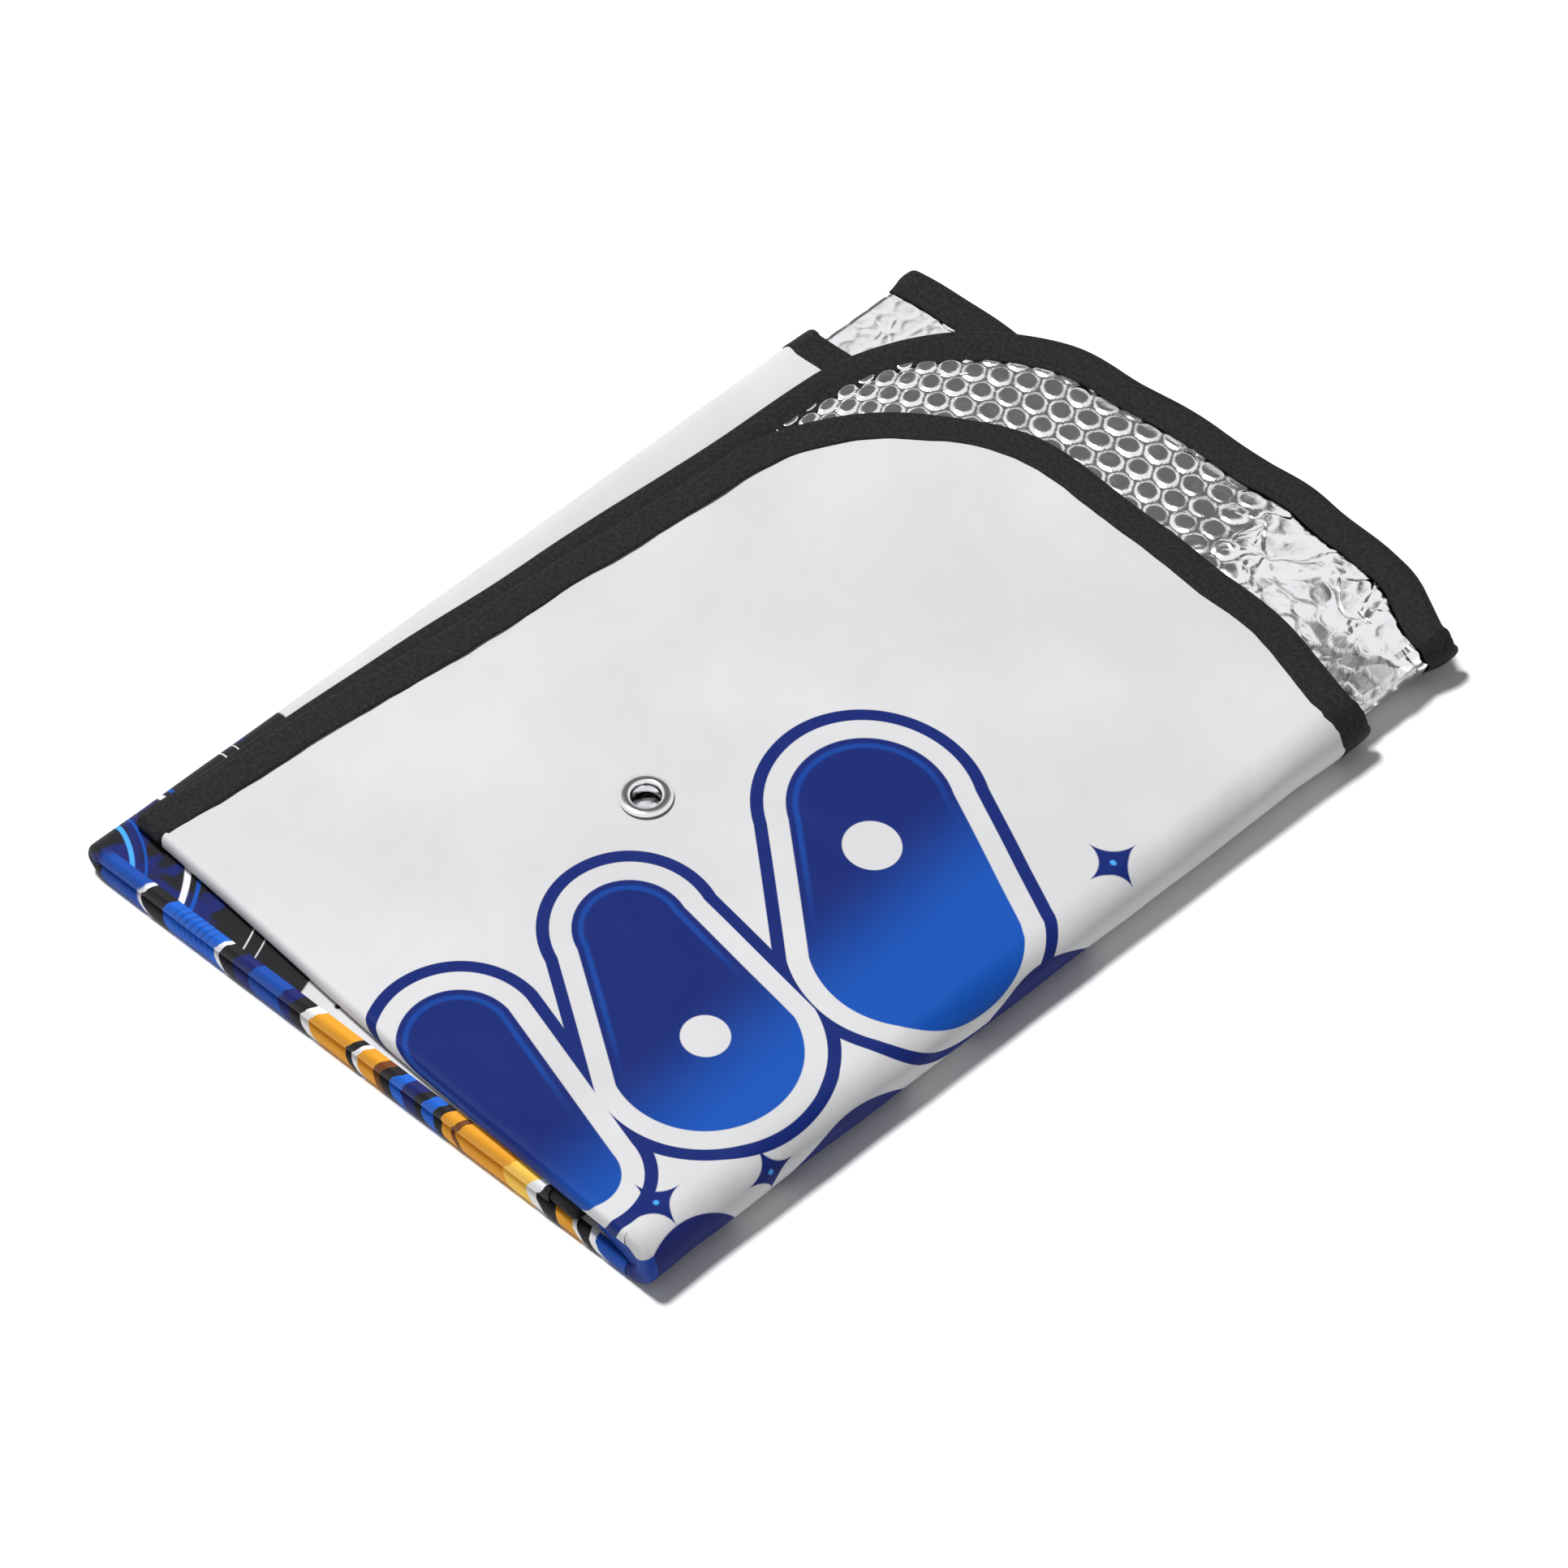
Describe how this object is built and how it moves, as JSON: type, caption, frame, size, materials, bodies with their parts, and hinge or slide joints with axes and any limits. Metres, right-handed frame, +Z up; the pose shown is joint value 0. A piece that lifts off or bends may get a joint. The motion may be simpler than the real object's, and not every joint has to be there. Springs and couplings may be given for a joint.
{
  "type": "folding foil shade mat",
  "caption": "Folding shade mat of printed polyester over bubble foil, bound with black tape, folded in half and then in three, with a metal eyelet in its top flap.",
  "frame": {"origin": "on the floor under the middle of the folded mat's bounding box", "axes": "+X from the half-fold spine to the open ends, +Y from the top flap's fold to the inner flap's fold, +Z up"},
  "size_m": [0.3936, 0.257, 0.0245],
  "materials": {
    "printed_polyester": "light grey woven polyester with a slight sheen and a blue, navy, gold and black print",
    "bubble_foil": "bright metallised film over round air bubbles, creased",
    "binding_tape": "black woven tape, folded over the edge and sewn",
    "eyelet_metal": "plated steel, rolled over and polished"
  },
  "bodies": {
    "base": {"base_long_binding": "binding_tape", "base_long_cover": "printed_polyester", "base_long_foil": "bubble_foil", "base_short_binding": "binding_tape", "base_short_cover": "printed_polyester", "base_short_foil": "bubble_foil", "base_spine_cover": "printed_polyester", "base_spine_foil": "bubble_foil", "inner_fold_corner_cover": "printed_polyester", "inner_fold_long_binding": "binding_tape", "inner_fold_long_cover": "printed_polyester", "inner_fold_long_foil": "bubble_foil", "inner_fold_short_binding": "binding_tape", "inner_fold_short_cover": "printed_polyester", "inner_fold_short_foil": "bubble_foil", "top_fold_corner_cover": "printed_polyester", "top_fold_long_binding": "binding_tape", "top_fold_long_cover": "printed_polyester", "top_fold_long_foil": "bubble_foil", "top_fold_short_binding": "binding_tape", "top_fold_short_cover": "printed_polyester", "top_fold_short_foil": "bubble_foil"},
    "inner_flap": {"inner_binding_turn": "binding_tape", "inner_long_binding": "binding_tape", "inner_long_cover": "printed_polyester", "inner_long_foil": "bubble_foil", "inner_short_binding": "binding_tape", "inner_short_cover": "printed_polyester", "inner_short_foil": "bubble_foil", "inner_spine_cover": "printed_polyester", "inner_spine_foil": "bubble_foil"},
    "top_flap": {"eyelet_flange": "eyelet_metal", "eyelet_washer": "eyelet_metal", "top_binding_turn": "binding_tape", "top_long_binding": "binding_tape", "top_long_cover": "printed_polyester", "top_long_foil": "bubble_foil", "top_short_binding": "binding_tape", "top_short_cover": "printed_polyester", "top_short_foil": "bubble_foil", "top_spine_cover": "printed_polyester", "top_spine_foil": "bubble_foil"}
  },
  "joints": [
    {"name": "top_flap_fold", "type": "hinge", "parent": "base", "child": "top_flap", "pos_m": [0, -0.11695, 0.01155], "axis": [1, 0, 0], "range_deg": [0, 180], "deforming": ["top_fold_corner_cover", "top_fold_long_binding", "top_fold_long_cover", "top_fold_long_foil", "top_fold_short_binding", "top_fold_short_cover", "top_fold_short_foil"]},
    {"name": "inner_flap_fold", "type": "hinge", "parent": "base", "child": "inner_flap", "pos_m": [0, 0.11819, 0.00765], "axis": [-0.9998, -0.02, 0], "range_deg": [0, 15], "deforming": ["inner_fold_corner_cover", "inner_fold_long_binding", "inner_fold_long_cover", "inner_fold_long_foil", "inner_fold_short_binding", "inner_fold_short_cover", "inner_fold_short_foil"]}
  ],
  "couplings": [
    {"joint": "inner_flap_fold", "follows": "top_flap_fold", "ratio": 0.08}
  ]
}
